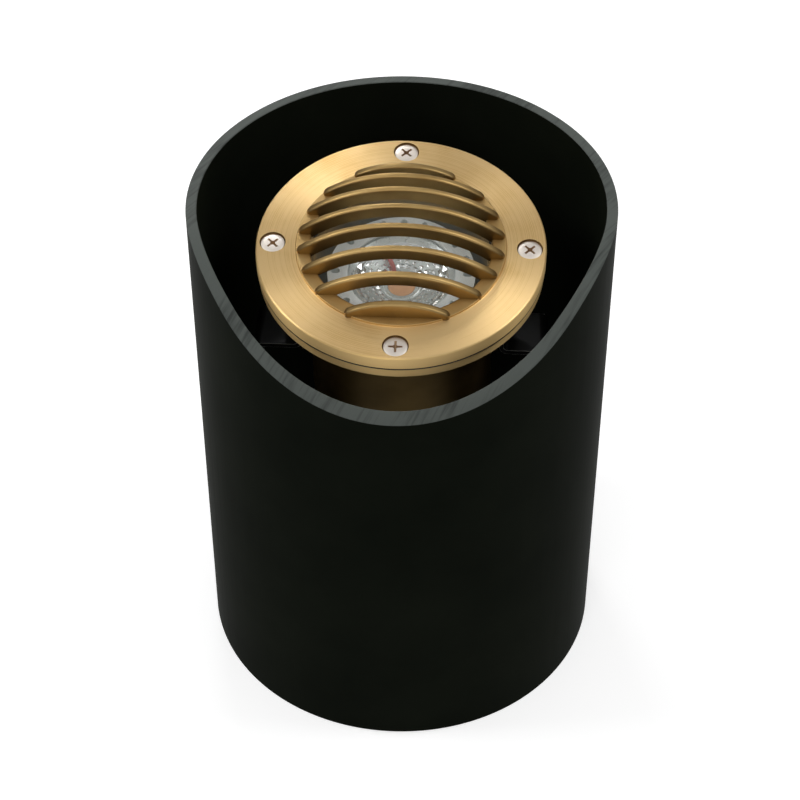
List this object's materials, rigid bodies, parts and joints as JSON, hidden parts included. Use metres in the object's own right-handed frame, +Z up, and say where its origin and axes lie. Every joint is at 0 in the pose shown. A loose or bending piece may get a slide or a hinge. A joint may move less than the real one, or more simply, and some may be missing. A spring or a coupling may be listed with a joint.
{
  "type": "well light",
  "caption": "Well light: louvred round brass lamp head that tilts and swivels on a strap yoke inside a slant-cut black plastic sleeve.",
  "frame": {"origin": "centre of the sleeve's open bottom end, in the plane that it stands on", "axes": "+Z up along the sleeve, -Y towards the low side of the slanted mouth, +X to the right seen from the low side"},
  "size_m": [0.1412, 0.1412, 0.1887],
  "materials": {
    "sleeve_plastic": "extruded black-green plastic, satin, with a sawn edge",
    "cast_brass": "cast brass, face turned and brushed",
    "turned_brass": "turned brass, polished and slightly browned",
    "stainless": "bright stainless steel",
    "yoke_steel": "rolled stainless strap",
    "nylon": "natural nylon",
    "seal_rubber": "black silicone rubber",
    "clear_glass": "clear tempered glass",
    "lamp_white": "white-silver coated aluminium",
    "lamp_silver": "bright aluminised reflector",
    "lamp_cover": "clear polycarbonate",
    "board_white": "white aluminium-core board",
    "chip_orange": "phosphor under clear silicone",
    "wire_red": "red insulated wire",
    "lamp_ceramic": "white steatite",
    "contact_metal": "nickel-plated pins",
    "gland_brass": "machined brass"
  },
  "bodies": {
    "sleeve_frame": {"sleeve": "sleeve_plastic", "crossbar": "yoke_steel", "wall_screws": "stainless", "wall_nuts": "stainless", "swivel_bolt": "stainless", "swivel_washers": "nylon", "swivel_nut": "stainless"},
    "yoke": {"yoke": "yoke_steel"},
    "head": {"pivot_bolts": "stainless", "pivot_spacers": "nylon", "pivot_washers": "stainless", "grille_bezel": "cast_brass", "grille_screws": "stainless", "flange_gasket": "seal_rubber", "lens": "clear_glass", "lens_gasket": "seal_rubber", "housing": "turned_brass", "lamp_heatsink": "lamp_white", "lamp_lens": "lamp_cover", "lamp_ring": "lamp_white", "lamp_reflector": "lamp_silver", "lamp_board": "board_white", "lamp_chip": "chip_orange", "lamp_wire": "wire_red", "lamp_base": "lamp_ceramic", "lamp_pins": "contact_metal", "lamp_socket": "lamp_ceramic", "socket_bracket": "yoke_steel", "socket_screws": "stainless", "bracket_screws": "stainless", "cable_gland": "gland_brass", "gland_nut": "gland_brass", "gland_seal": "seal_rubber", "gland_cap": "gland_brass"}
  },
  "joints": [
    {"name": "yoke_swivel", "type": "hinge", "parent": "sleeve_frame", "child": "yoke", "pos_m": [0, 0, 0.06678], "axis": [0, 0, 1], "range_deg": [-170, 170]},
    {"name": "head_tilt", "type": "hinge", "parent": "yoke", "child": "head", "pos_m": [0, 0, 0.142], "axis": [1, 0, 0], "range_deg": [-39.5, 20.5]}
  ]
}
